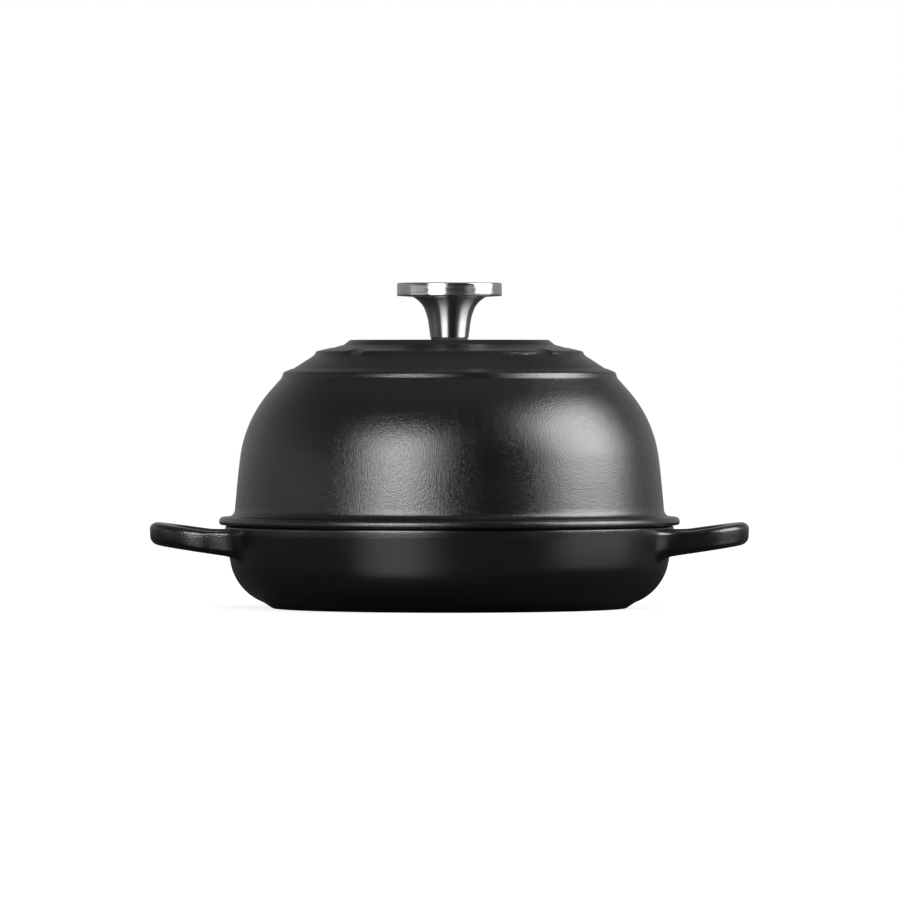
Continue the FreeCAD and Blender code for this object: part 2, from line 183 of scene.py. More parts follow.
# %% [markdown]
# ## Black enamel for pan and lid
#
# The iron is coated in satin black, so nearly all that is seen of it is reflection: a low base colour, a
# glassy index and a middling roughness that the grain spreads further. The lid's broad curve shows its grain
# most, so that grain is the deeper one. On the pan and its slim handles it stays shallow.

# %% Enamel materials
ENAMEL_INDEX = 1.7
GLOSS_DRIFT = 0.16


def enamel(name, colour, roughness, grains, grain_depth):
    """Satin enamel on a casting, with its grains per metre and their depth in metres."""
    material = bpy.data.materials.new(name)
    material.use_nodes = True
    tree = material.node_tree
    skin = tree.nodes["Principled BSDF"]
    skin.inputs["IOR"].default_value = ENAMEL_INDEX
    grain = add_node(tree, "ShaderNodeGroup", node_tree=ENAMEL_GRAIN)
    feed(tree, add_node(tree, "ShaderNodeTexCoord").outputs["Object"], grain.inputs["Place"])
    grain.inputs["Grains per Metre"].default_value = grains
    grain.inputs["Drift"].default_value = GLOSS_DRIFT
    feed(tree, sum_node(tree, "ADD", grain.outputs["Gloss Drift"], roughness), skin.inputs["Roughness"])
    feed(tree, tint(tree, colour, 0.75, 1.25, grain.outputs["Speck"]), skin.inputs["Base Color"])
    feed(tree, bump(tree, grain.outputs["Height"], grain_depth), skin.inputs["Normal"])
    return material


BLACK = (0.0042, 0.0042, 0.0044)
PAN_ENAMEL = enamel("pan_enamel", BLACK, 0.22, 1300.0, 0.00012)
LID_ENAMEL = enamel("lid_enamel", BLACK, 0.215, 1350.0, 0.00019)
print("enamel:", PAN_ENAMEL.name, LID_ENAMEL.name)

# %% [markdown]
# ## Shared finish: turned lines
#
# Steel that is finished on a lathe carries fine rings round its axis. They blur a reflection up and down but
# not sideways, which is why the knob shows upright bands of light. The rings are a noise that changes only
# with height and radius, so every turned piece can share one group.

# %% Turned lines group
RING_WANDER = 0.00003
BROAD_RATIO, FINE_STREAK = 0.22, 0.5


def turned_lines_group():
    """Rings round the Z axis: a height for bump and a streak for gloss and colour."""
    tree, given, result = open_group(
        "turned_lines", "ShaderNodeTree",
        [("Place", "NodeSocketVector"), ("Rings per Metre", "NodeSocketFloat")],
        [("Height", "NodeSocketFloat"), ("Streak", "NodeSocketFloat")])
    parts = add_node(tree, "ShaderNodeSeparateXYZ")
    feed(tree, given["Place"], parts.inputs[0])
    x, y, z = parts.outputs
    radius = sum_node(tree, "SQRT", sum_node(tree, "MULTIPLY_ADD", y, y, sum_node(tree, "MULTIPLY", x, x)))
    turn = sum_node(tree, "ARCTAN2", y, x)
    rings = add_node(tree, "ShaderNodeCombineXYZ")
    feed(tree, radius, rings.inputs["X"])
    feed(tree, sum_node(tree, "MULTIPLY", turn, RING_WANDER), rings.inputs["Y"])
    feed(tree, z, rings.inputs["Z"])
    per_metre = given["Rings per Metre"]
    fine = noise(tree, rings.outputs[0], per_metre, 3.0)
    broad = noise(tree, rings.outputs[0], sum_node(tree, "MULTIPLY", per_metre, BROAD_RATIO), 2.0)
    feed(tree, fine, result["Height"])
    feed(tree, sum_node(tree, "MULTIPLY_ADD", fine, FINE_STREAK, broad), result["Streak"])
    return tree


TURNED_LINES = turned_lines_group()
print("group", TURNED_LINES.name, "with", len(TURNED_LINES.nodes), "nodes")

# %% [markdown]
# ## Stainless steel for the knob and its fixing
#
# The knob's cap is brushed round its edge, its stem is turned finer, and the screw and washers inside are plain
# bright steel. They differ in roughness and in how deep their rings are. The stem's rings are too fine for bump
# to smear a reflection along its height, so the shader's own anisotropy does that. The stem is also given a
# darker colour than the cap, though both are one steel: that is painted shade, which dims the light it reflects.

# %% Steel materials
GLOSS_SPREAD = 0.06
UPRIGHT = 0.25


def steel(name, colour, roughness, rings, ring_depth, smear):
    """Stainless steel with rings per metre, their depth in metres and an upright smear from 0 to 1."""
    material = bpy.data.materials.new(name)
    material.use_nodes = True
    tree = material.node_tree
    metal = tree.nodes["Principled BSDF"]
    metal.inputs["Metallic"].default_value = 1.0
    metal.inputs["Anisotropic"].default_value = smear
    metal.inputs["Anisotropic Rotation"].default_value = UPRIGHT
    lines = add_node(tree, "ShaderNodeGroup", node_tree=TURNED_LINES)
    feed(tree, add_node(tree, "ShaderNodeTexCoord").outputs["Object"], lines.inputs["Place"])
    lines.inputs["Rings per Metre"].default_value = rings
    dullest, shiniest = roughness + GLOSS_SPREAD, roughness - GLOSS_SPREAD
    gloss = ramp(tree, lines.outputs["Streak"], 0.5, 1.0, shiniest, dullest, "LINEAR")
    feed(tree, gloss, metal.inputs["Roughness"])
    feed(tree, tint(tree, colour, 0.9, 1.08, lines.outputs["Height"]), metal.inputs["Base Color"])
    feed(tree, bump(tree, lines.outputs["Height"], ring_depth), metal.inputs["Normal"])
    return material


CAP_STEEL = steel("cap_steel", (0.62, 0.61, 0.60), 0.17, 3200.0, 0.00004, 0.0)
# Painted shade: the stem's colour is darker than the cap's, though both are one steel, so its reflections are dimmer.
SHADED_STEM_STEEL = steel("stem_steel", (0.47, 0.46, 0.45), 0.34, 3600.0, 0.00002, 1.0)
FIXING_STEEL = steel("fixing_steel", (0.55, 0.55, 0.54), 0.32, 2400.0, 0.00003, 0.0)
print("steel:", CAP_STEEL.name, SHADED_STEM_STEEL.name, FIXING_STEEL.name)

# %% [markdown]
# ## Rubber for the gasket
#
# A thin heat-proof washer keeps the knob's foot off the enamel. Only its dark edge shows. It is matt, with
# the faint mottle of moulded rubber.

# %% Gasket material
MOTTLES_PER_METRE = 900.0


def rubber(name, colour):
    """Matt moulded rubber."""
    material = bpy.data.materials.new(name)
    material.use_nodes = True
    tree = material.node_tree
    skin = tree.nodes["Principled BSDF"]
    mottle = noise(tree, add_node(tree, "ShaderNodeTexCoord").outputs["Object"], MOTTLES_PER_METRE, 2.0)
    feed(tree, tint(tree, colour, 0.7, 1.3, mottle), skin.inputs["Base Color"])
    feed(tree, sum_node(tree, "MULTIPLY_ADD", mottle, 0.2, 0.6), skin.inputs["Roughness"])
    return material


GASKET = rubber("gasket", (0.02, 0.02, 0.02))
print("rubber:", GASKET.name)

# %% [markdown]
# ## A lathe in Geometry Nodes
#
# Pan, lid, stem and cap are all turned shapes: half an outline, swung round an axis. A Screw modifier could do
# that, but it would round no corners and would leave long thin faces. This tree takes an open outline whose
# points carry a corner radius, rounds each corner in even steps, but in no more than a wide curve needs, cuts the
# straight sides into short pieces, and wraps a grid of faces round the axis. Its sizes are inputs, so one tree
# makes every round piece.

# %% Lathe tree
FEWEST_STEPS, MOST_STEPS = 5, 28
SAME_POINT = 0.001 * MM


def lathe_tree():
    """Rounds the corners of a profile in the XZ plane and turns it round Z."""
    tree, given, result = open_group(
        "lathe", "GeometryNodeTree",
        [("Profile", "NodeSocketGeometry"), ("Segments", "NodeSocketInt"), ("Corner Step", "NodeSocketFloat"),
         ("Side Step", "NodeSocketFloat"), ("Finish", "NodeSocketMaterial")],
        [("Turned Piece", "NodeSocketGeometry")])
    place = add_node(tree, "GeometryNodeInputPosition").outputs[0]
    index = add_node(tree, "GeometryNodeInputIndex").outputs[0]

    corner = add_node(tree, "GeometryNodeInputRadius").outputs[0]
    steps = sum_node(tree, "CEIL", sum_node(tree, "DIVIDE", corner, given["Corner Step"]))
    steps = sum_node(tree, "MINIMUM", sum_node(tree, "MAXIMUM", steps, FEWEST_STEPS), MOST_STEPS)
    rounded = add_node(tree, "GeometryNodeFilletCurve", mode="POLY")
    feed(tree, given["Profile"], rounded.inputs["Curve"])
    feed(tree, steps, rounded.inputs["Count"])
    feed(tree, corner, rounded.inputs["Radius"])
    rounded.inputs["Limit Radius"].default_value = True

    neighbour = add_node(tree, "GeometryNodeFieldAtIndex", data_type="FLOAT_VECTOR")
    feed(tree, place, neighbour.inputs["Value"])
    feed(tree, sum_node(tree, "ADD", index, 1), neighbour.inputs["Index"])
    side = add_node(tree, "ShaderNodeVectorMath", operation="DISTANCE")
    feed(tree, place, side.inputs[0])
    feed(tree, neighbour.outputs[0], side.inputs[1])
    cuts = sum_node(tree, "FLOOR", sum_node(tree, "DIVIDE", side.outputs["Value"], given["Side Step"]))
    outline = add_node(tree, "GeometryNodeSubdivideCurve")
    feed(tree, rounded.outputs[0], outline.inputs["Curve"])
    feed(tree, cuts, outline.inputs["Cuts"])

    size = add_node(tree, "GeometryNodeAttributeDomainSize", component="CURVE")
    feed(tree, outline.outputs[0], size.inputs[0])
    rows = size.outputs["Point Count"]
    grid = add_node(tree, "GeometryNodeMeshGrid")
    feed(tree, sum_node(tree, "ADD", given["Segments"], 1), grid.inputs["Vertices X"])
    feed(tree, rows, grid.inputs["Vertices Y"])
    column = sum_node(tree, "FLOOR", sum_node(tree, "DIVIDE", index, rows))
    row = sum_node(tree, "SUBTRACT", index, sum_node(tree, "MULTIPLY", column, rows))
    on_outline = add_node(tree, "GeometryNodeSampleIndex", data_type="FLOAT_VECTOR", domain="POINT")
    feed(tree, outline.outputs[0], on_outline.inputs["Geometry"])
    feed(tree, place, on_outline.inputs["Value"])
    feed(tree, row, on_outline.inputs["Index"])
    turn = add_node(tree, "ShaderNodeVectorRotate", rotation_type="Z_AXIS")
    feed(tree, on_outline.outputs[0], turn.inputs["Vector"])
    share = sum_node(tree, "DIVIDE", column, given["Segments"])
    feed(tree, sum_node(tree, "MULTIPLY", share, math.tau), turn.inputs["Angle"])
    wrapped = add_node(tree, "GeometryNodeSetPosition")
    feed(tree, grid.outputs["Mesh"], wrapped.inputs["Geometry"])
    feed(tree, turn.outputs[0], wrapped.inputs["Position"])

    closed = add_node(tree, "GeometryNodeMergeByDistance")
    closed.inputs["Distance"].default_value = SAME_POINT
    feed(tree, wrapped.outputs[0], closed.inputs["Geometry"])
    smooth = add_node(tree, "GeometryNodeSetShadeSmooth")
    feed(tree, closed.outputs[0], smooth.inputs["Geometry"])
    real = add_node(tree, "GeometryNodeRealizeInstances")
    feed(tree, smooth.outputs[0], real.inputs["Geometry"])
    finished = add_node(tree, "GeometryNodeSetMaterial")
    feed(tree, real.outputs[0], finished.inputs["Geometry"])
    feed(tree, given["Finish"], finished.inputs["Material"])
    feed(tree, finished.outputs[0], result[0])
    return tree


LATHE = lathe_tree()
print("tree", LATHE.name, "with", len(LATHE.nodes), "nodes")

# %% [markdown]
# ## Turning a piece
#
# A piece starts as a blank: a curve object that holds only its outline. The lathe is put on it as a modifier,
# the result becomes a plain mesh, and the blank goes away, because an export carries meshes and not trees.
# The sign of the volume shows at once whether the faces look outwards.

# %% From outline to mesh
def set_inputs(modifier, **values):
    """Sets a node modifier's inputs by the identifiers of the sockets with those names."""
    for item in modifier.node_group.interface.items_tree:
        key = item.name.replace(" ", "_")
        if item.in_out == "INPUT" and key in values:
            modifier[item.identifier] = values[key]


def plain_mesh(blank, name):
    """The evaluated mesh of an object with modifiers, as a new object. The old one is removed."""
    scene.collection.objects.link(blank)
    evaluated = blank.evaluated_get(bpy.context.evaluated_depsgraph_get())
    mesh = bpy.data.meshes.new_from_object(evaluated)
    bpy.data.objects.remove(blank)
    piece = bpy.data.objects.new(name, mesh)
    mesh.name = name
    scene.collection.objects.link(piece)
    return piece


def face_outwards(piece):
    """Turns the faces of a closed mesh outwards and returns its volume in cubic centimetres."""
    shell = bmesh.new()
    shell.from_mesh(piece.data)
    volume = shell.calc_volume(signed=True)
    if volume < 0:
        bmesh.ops.reverse_faces(shell, faces=shell.faces)
        shell.to_mesh(piece.data)
    shell.free()
    return abs(volume) * 1e6


def turned_piece(name, corners, finish, segments, corner_step, side_step, more=()):
    """Turns (radius, height, rounding) corners in millimetres into a closed mesh. More trees can follow the lathe."""
    outline = bpy.data.curves.new(name + ".outline", "CURVE")
    outline.dimensions = "3D"
    spline = outline.splines.new("POLY")
    spline.points.add(len(corners) - 1)
    for point, (radius, height, rounding) in zip(spline.points, corners):
        point.co = (radius * MM, 0, height * MM, 1)
        point.radius = rounding * MM
    blank = bpy.data.objects.new(name + ".blank", outline)
    modifier = blank.modifiers.new("lathe", "NODES")
    modifier.node_group = LATHE
    set_inputs(modifier, Segments=segments, Finish=finish, Corner_Step=corner_step * MM, Side_Step=side_step * MM)
    for tree, values in more:
        modifier = blank.modifiers.new(tree.name, "NODES")
        modifier.node_group = tree
        set_inputs(modifier, **values)
    piece = plain_mesh(blank, name)
    bpy.data.curves.remove(outline)
    volume = face_outwards(piece)
    print(name, len(piece.data.polygons), "faces,", round(volume, 2), "cm3")
    return piece


# %% [markdown]
# ## The lid
#
# The lid is a dome with a flange that covers the pan's rim and a stepped crown that leads up to the knob. Its
# wall leans inwards, a little more above a slight bend, and one large curve joins it to the roof. The inside
# follows at the thickness of the casting, with a ring at its foot that drops into the pan. Two helpers find
# where such lines cross and where they lie when moved inwards.

# %% Lines of an outline
def crossing(start, lean, other, other_lean):
    """Where two lines of an outline cross, each through a point and leaning inwards by an angle."""
    slope = math.tan(math.radians(lean))
    other_slope = math.tan(math.radians(other_lean))
    height = (start[0] - other[0] + slope * start[1] - other_slope * other[1]) / (slope - other_slope)
    return start[0] - slope * (height - start[1]), height


def moved_in(point, lean, distance):
    """A point moved towards the axis, square to a line that leans inwards by an angle."""
    angle = math.radians(lean)
    return point[0] - distance * math.cos(angle), point[1] - distance * math.sin(angle)


# %% Lid outline
RIM_RADIUS = 119.0
RIM_HEIGHT = 43.9
LID_TOP = 142.2
LID_UNDER = 136.2
LID_WALL = 4.6
LID_DRAFT = 5.2
UPPER_DRAFT = 7.5
ROOF_LEAN = 41.5
SCREW_HOLE = 3.3
FLANGE_RADIUS = 122.05
FLANGE_UNDER = 44.2
FLANGE_TOP = 48.45
SEAT_RADIUS = 117.3
RING_RADIUS = 113.3
RING_FOOT = 40.9

wall_foot = (114.1, FLANGE_TOP)
wall_bend = (111.96, 72.0)
step_foot = (88.9, 122.1)
step_edge = (88.1, 125.0)
ledge_end = (83.8, 126.8)
cone_foot = (82.6, 127.0)
brow = (68.3, 136.2)
BROW_ROUND = 25
top_foot = (55.9, 139.6)
cone_lean = math.degrees(math.atan2(cone_foot[0] - brow[0], brow[1] - cone_foot[1]))
shoulder = crossing(wall_bend, UPPER_DRAFT, step_foot, ROOF_LEAN)
inner_foot = moved_in(wall_foot, LID_DRAFT, LID_WALL)
inner_roof = moved_in(step_foot, ROOF_LEAN, LID_WALL)
inner_brow = moved_in(brow, cone_lean, LID_WALL)
inner_shoulder = crossing(inner_foot, LID_DRAFT, inner_roof, ROOF_LEAN)
inner_step = crossing(inner_roof, ROOF_LEAN, inner_brow, cone_lean)
inner_top = crossing(inner_brow, cone_lean, (0, LID_UNDER), 89.999)
lid_corners = [
    (SCREW_HOLE, LID_UNDER, 0),
    (inner_top[0], LID_UNDER, 25),
    (*inner_step, 25),
    (*inner_shoulder, 64.9),
    (*inner_foot, 0),
    (inner_foot[0], RING_FOOT, 0.6),
    (RING_RADIUS, RING_FOOT, 0.6),
    (RING_RADIUS, RIM_HEIGHT, 0.3),
    (SEAT_RADIUS, RIM_HEIGHT, 0.1),
    (SEAT_RADIUS, FLANGE_UNDER, 0.1),
    (FLANGE_RADIUS, FLANGE_UNDER, 1.3),
    (FLANGE_RADIUS, FLANGE_TOP, 2.2),
    (*wall_foot, 4.0),
    (*wall_bend, 400),
    (*shoulder, 66),
    (*step_foot, 2.4),
    (*step_edge, 2.0),
    (*ledge_end, 0.25),
    (*cone_foot, 0.25),
    (*brow, BROW_ROUND),
    (*top_foot, 0.6),
    (52.6, LID_TOP, 2.0),
    (SCREW_HOLE, LID_TOP, 0),
    (SCREW_HOLE, LID_UNDER, 0),
]
print("lid outline:", len(lid_corners), "corners, shoulder at", [round(value, 1) for value in shoulder])

# %% [markdown]
# ## Raised bars on the crown
#
# Four plain bars with round ends stand out of the crown. Modelled apart and joined on, they would have hard
# seams, which enamel never leaves. Instead a tree lifts the crown's own points. Unrolled, a bar is a rectangle
# with round corners, so the distance of a point from the edge of that rectangle is easy to write down. A point
# outside stays, a point inside goes up to the bar's flat top, and a narrow strip along the edge blends the two.

# %% Raised bars tree
LOOKS_UP = 0.2


def raised_bars_tree():
    """Lifts the upper side of a turned mesh to the tops of bars that stand in a ring."""
    tree, given, result = open_group(
        "raised_bars", "GeometryNodeTree",
        [("Crown", "NodeSocketGeometry"), ("Bars", "NodeSocketFloat"), ("Gap", "NodeSocketFloat"),
         ("Ring Radius", "NodeSocketFloat"), ("Width", "NodeSocketFloat"), ("End Round", "NodeSocketFloat"),
         ("Edge", "NodeSocketFloat"), ("Top Level", "NodeSocketFloat"), ("Fall", "NodeSocketFloat"),
         ("Finish", "NodeSocketMaterial")],
        [("Crown", "NodeSocketGeometry")])
    place = add_node(tree, "ShaderNodeSeparateXYZ")
    feed(tree, add_node(tree, "GeometryNodeInputPosition").outputs[0], place.inputs[0])
    x, y, z = place.outputs
    radius = sum_node(tree, "SQRT", sum_node(tree, "MULTIPLY_ADD", x, x, sum_node(tree, "MULTIPLY", y, y)))
    out = sum_node(tree, "SUBTRACT", radius, given["Ring Radius"])

    share = sum_node(tree, "DIVIDE", math.tau, given["Bars"])
    most = sum_node(tree, "MULTIPLY", share, 0.5)
    turn = sum_node(tree, "WRAP", sum_node(tree, "ARCTAN2", y, x), most, sum_node(tree, "MULTIPLY", most, -1))
    along = sum_node(tree, "MULTIPLY", sum_node(tree, "ABSOLUTE", turn), given["Ring Radius"])
    half_span = sum_node(tree, "MULTIPLY", sum_node(tree, "SUBTRACT", share, given["Gap"]), 0.5)
    half_length = sum_node(tree, "MULTIPLY", half_span, given["Ring Radius"])

    past_side = sum_node(tree, "ADD", given["End Round"], sum_node(
        tree, "SUBTRACT", sum_node(tree, "ABSOLUTE", out), sum_node(tree, "MULTIPLY", given["Width"], 0.5)))
    past_end = sum_node(tree, "ADD", given["End Round"], sum_node(tree, "SUBTRACT", along, half_length))
    side, end = sum_node(tree, "MAXIMUM", past_side, 0), sum_node(tree, "MAXIMUM", past_end, 0)
    end_square = sum_node(tree, "MULTIPLY", end, end)
    corner = sum_node(tree, "SQRT", sum_node(tree, "MULTIPLY_ADD", side, side, end_square))
    inside = sum_node(tree, "MINIMUM", sum_node(tree, "MAXIMUM", past_side, past_end), 0)
    distance = sum_node(tree, "SUBTRACT", sum_node(tree, "ADD", corner, inside), given["End Round"])

    blend = ramp(tree, distance, given["Edge"], sum_node(tree, "MULTIPLY", given["Edge"], -1), 0, 1)
    top = sum_node(tree, "SUBTRACT", given["Top Level"], sum_node(tree, "MULTIPLY", out, given["Fall"]))
    lift = sum_node(tree, "MULTIPLY", blend, sum_node(tree, "SUBTRACT", top, z))
    facing = add_node(tree, "ShaderNodeSeparateXYZ")
    feed(tree, add_node(tree, "GeometryNodeInputNormal").outputs[0], facing.inputs[0])
    offset = add_node(tree, "ShaderNodeCombineXYZ")
    feed(tree, lift, offset.inputs["Z"])
    lifted = add_node(tree, "GeometryNodeSetPosition")
    feed(tree, given["Crown"], lifted.inputs["Geometry"])
    feed(tree, sum_node(tree, "GREATER_THAN", facing.outputs["Z"], LOOKS_UP), lifted.inputs["Selection"])
    feed(tree, offset.outputs[0], lifted.inputs["Offset"])
    real = add_node(tree, "GeometryNodeRealizeInstances")
    feed(tree, lifted.outputs[0], real.inputs["Geometry"])
    finished = add_node(tree, "GeometryNodeSetMaterial")
    feed(tree, real.outputs[0], finished.inputs["Geometry"])
    feed(tree, given["Finish"], finished.inputs["Material"])
    feed(tree, finished.outputs[0], result[0])
    return tree


RAISED_BARS = raised_bars_tree()
print("tree", RAISED_BARS.name, "with", len(RAISED_BARS.nodes), "nodes")

# %% [markdown]
# ## Turning the lid
#
# The bars lie across the bend of the cone. To draw their edges clean, the outline gets extra points there, and
# the lid is turned in many narrow segments.

# %% Lid
BAR_MIDDLE = 66.8
BAR_FALL = math.tan(math.radians(13))
BAR_RISE = 0.5
BAR_TOP = brow[1] + BAR_RISE + (brow[0] - BAR_MIDDLE) * BAR_FALL
bars = {
    "Bars": 4, "Gap": math.radians(7), "Ring_Radius": BAR_MIDDLE * MM, "Width": 8.6 * MM, "End_Round": 3 * MM,
    "Edge": 0.8 * MM, "Top_Level": BAR_TOP * MM, "Fall": BAR_FALL, "Finish": LID_ENAMEL}


def between(start, end, count):
    """Corners without rounding that cut a straight side into equal pieces."""
    first, last = Vector(start[:2]), Vector(end[:2])
    return [(*first.lerp(last, (i + 1) / (count + 1)), 0) for i in range(count)]


at_brow = lid_corners.index((*brow, BROW_ROUND))
below_brow = between((74.2, 132.4), (71.9, 133.88), 4)
above_brow = between((64.3, 137.3), (60.8, 138.26), 6)
fine_corners = lid_corners[:at_brow] + below_brow + [lid_corners[at_brow]] + above_brow + lid_corners[at_brow + 1:]
lid = turned_piece(
    "lid", fine_corners, LID_ENAMEL, segments=320, corner_step=2.6, side_step=2.2, more=[(RAISED_BARS, bars)])
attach(lid, "lid")
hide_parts("dome_lid")

# %% [markdown]
# ## Stem and cap of the knob
#
# The knob is two turned pieces pressed together: a stem that flares out of a narrow foot, and a disc with a
# brushed edge. The same lathe makes both, with finer steps because they are small.

# %% Knob
STEM_FOOT = 143.3
STEM_TOP = 164.9
FLARE_RADIUS = 19.4
BORE_RADIUS = 3.05
BORE_END = 154.6
SPIGOT_RADIUS = 8.0
SPIGOT_TOP = 167.9
CAP_RADIUS = 27.8
CAP_UNDER = 165.4
CAP_TOP = 172.39

stem = turned_piece("stem", [
    (BORE_RADIUS, STEM_FOOT, 0), (10.1, STEM_FOOT, 0.4), (11.65, 154.7, 28), (14.6, 161.85, 12.5),
    (FLARE_RADIUS, STEM_TOP, 0), (SPIGOT_RADIUS, STEM_TOP, 0), (SPIGOT_RADIUS, SPIGOT_TOP, 0), (0, SPIGOT_TOP, 0),
    (0, BORE_END, 0), (BORE_RADIUS, BORE_END, 0), (BORE_RADIUS, STEM_FOOT, 0),
], SHADED_STEM_STEEL, segments=160, corner_step=0.6, side_step=0.8)
cap = turned_piece("cap", [
    (0, SPIGOT_TOP, 0), (SPIGOT_RADIUS, SPIGOT_TOP, 0), (SPIGOT_RADIUS, STEM_TOP, 0), (FLARE_RADIUS, STEM_TOP, 0),
    (CAP_RADIUS, CAP_UNDER, 0.5), (CAP_RADIUS, CAP_TOP, 0.9), (0, CAP_TOP, 0),
], CAP_STEEL, segments=160, corner_step=0.3, side_step=1.2)
for piece, node, slot in ((stem, "knob_stem", "stem_steel"), (cap, "knob_cap", "cap_steel")):
    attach(piece, "lid")
    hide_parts(node)

# %% [markdown]
# ## Body of the pan
#
# The pan is one more job for the lathe: a foot ring, a wide curve up to a leaning wall, an upright band at the
# rim, and a floor with low rings that keep the loaf off the hot iron.

# %% Pan body
BAND_DRAFT = 3.0
PAN_DRAFT = 10.2
PAN_CURVE = 27.5
UNDERSIDE_SLOPE = 24.0
PAN_FLOOR = 5.2
PAN_UNDER = 0.8
RIDGES, RIDGE_PITCH = 6, 12.5
RIDGE_RISE, RIDGE_REACH = 1.1, 2.5

band_foot = (118.74, 39.0)
foot_edge = (98.3, 3.0)
pan_corner = crossing(band_foot, -PAN_DRAFT, foot_edge, UNDERSIDE_SLOPE - 90)
pan_corners = [
    (0, PAN_UNDER, 0), (79.1, PAN_UNDER, 0), (79.9, 0, 0), (93.7, 0, 1.8), (*foot_edge, 1.2),
    (*pan_corner, PAN_CURVE), (*band_foot, 14), (RIM_RADIUS, RIM_HEIGHT, 1.3), (114.5, RIM_HEIGHT, 0.4),
    (108.92, PAN_FLOOR, 25),
]
for i in range(RIDGES, 0, -1):
    middle = RIDGE_PITCH * i
    pan_corners += [
        (middle + RIDGE_REACH, PAN_FLOOR, RIDGE_RISE),
        (middle, PAN_FLOOR + RIDGE_RISE, RIDGE_REACH),
        (middle - RIDGE_REACH, PAN_FLOOR, RIDGE_RISE),
    ]
pan_corners.append((0, PAN_FLOOR, 0))
pan = turned_piece("pan", pan_corners, PAN_ENAMEL, segments=256, corner_step=1.6, side_step=2.0)

# %% [markdown]
# ## Path and section of a handle
#
# A handle is a bar with rounded edges that runs out from the wall, turns twice and comes back. Seen from above
# its middle line is two arms, two bends and the grip. Seen from the side its top is level beside the wall and
# then rises like its underside, so the height of a point follows from how far out it lies. The section changes
# on its way: the arms lean in towards their underside and have crisp upper edges, and the grip is rounder.

# %% Handle path
HANDLE_TIP = 158.5
HANDLE_GRIP = 13.5
ARM_FOOT = Vector((109.3, 41.0))
ARM_CORNER = Vector((HANDLE_TIP, 38.5))
BEND_RADIUS = 30.0 - HANDLE_GRIP / 2
ARM_STEPS, BEND_STEPS, GRIP_STEPS = 12, 16, 8

arm = (ARM_CORNER - ARM_FOOT).normalized()
arm_side = Vector((-arm.y, arm.x))
arm_start = ARM_FOOT - arm_side * HANDLE_GRIP / 2
grip_x = HANDLE_TIP - HANDLE_GRIP / 2
bend_corner = arm_start + arm * (grip_x - arm_start.x) / arm.x
bend_turn = math.pi / 2 + math.atan2(arm.y, arm.x)
bend_start = bend_corner - arm * BEND_RADIUS * math.tan(bend_turn / 2)
bend_middle = bend_start - arm_side * BEND_RADIUS


def handle_path(arm_from):
    """Half of the middle line from a point on the arm to the grip's centre, as (place, side) pairs."""
    stations = [(arm_from.lerp(bend_start, i / ARM_STEPS), arm_side) for i in range(ARM_STEPS)]
    for i in range(BEND_STEPS + 1):
        angle = bend_turn * i / BEND_STEPS
        side = Vector((arm_side.x * math.cos(angle) + arm_side.y * math.sin(angle),
                       arm_side.y * math.cos(angle) - arm_side.x * math.sin(angle)))
        stations.append((bend_middle + side * BEND_RADIUS, side))
    bend_end = stations[-1][0]
    for i in range(1, GRIP_STEPS + 1):
        stations.append((Vector((grip_x, bend_end.y * (1 - i / GRIP_STEPS))), Vector((1, 0))))
    return stations


print("bend of the handle starts at", [round(value, 1) for value in bend_start])

# %% Handle section
HANDLE_TOP = 41.3
HANDLE_UNDER = 28.4
HANDLE_RISE = math.tan(math.radians(8.4))
HANDLE_SHELF = 127.0
RISE_SOFTNESS = 3
ARM_EDGE, GRIP_EDGE, UNDER_EDGE = 1.8, 4.6, 4.2
ARM_LEAN, GRIP_LEAN = math.tan(math.radians(7)), math.tan(math.radians(1))
EDGE_STEPS = 9


def handle_section(share):
    """Section as (across, up, normal up), at a share of the way from the arm's root to the grip's middle."""
    top_edge = ARM_EDGE + (GRIP_EDGE - ARM_EDGE) * share
    lean = ARM_LEAN + (GRIP_LEAN - ARM_LEAN) * share
    height = HANDLE_TOP - HANDLE_UNDER
    section = []
    for quarter in range(4):
        edge = top_edge if quarter < 2 else UNDER_EDGE
        for i in range(EDGE_STEPS + 1):
            angle = math.pi / 2 * (quarter + i / EDGE_STEPS)
            right, up = math.cos(angle), math.sin(angle)
            level = height - edge * (1 - up) if quarter < 2 else edge * (1 + up)
            below = max(height - top_edge - level, 0)
            half = HANDLE_GRIP / 2 - edge * (1 - abs(right)) - below * lean
            section.append((half if quarter in (0, 3) else -half, level / height, up))
    return section


def bar_level(x, up):
    """Height of a point of the bar that lies x from the axis plane, with a soft start of the rise on top."""
    past = x - HANDLE_SHELF
    soft_rise = (past + math.sqrt(past * past + RISE_SOFTNESS)) / 2 * HANDLE_RISE
    under = HANDLE_UNDER + (x - RIM_RADIUS) * HANDLE_RISE
    return under + (HANDLE_TOP + soft_rise - under) * up


print("section of the handle:", len(handle_section(0)), "points")

# %% [markdown]
# ## Root of a handle
#
# On the casting the arms do not end at the wall with a hard line. They spread into it with a hollow curve that is
# wide outside, narrower inside and below, and hardly there on top. Each line along the bar is therefore bent:
# it leaves the bar before the wall, and runs out flat on the wall beside the arm. A quadratic curve whose middle
# point is the corner of the two does just that.

# %% Handle root
ROOT_OUTSIDE, ROOT_INSIDE, ROOT_TOP, ROOT_UNDER = 11.0, 5.0, 0.3, 4.0
ROOT_STEPS = 10
ARM_SHARE = 1.3
SUNK = 1.5
SEARCH_REACH, SEARCH_STEPS = 40.0, 40

wall_turn = math.radians(90 - PAN_DRAFT - UNDERSIDE_SLOPE) / 2
curve_top = pan_corner[1] + PAN_CURVE * math.tan(wall_turn) * math.cos(math.radians(PAN_DRAFT))


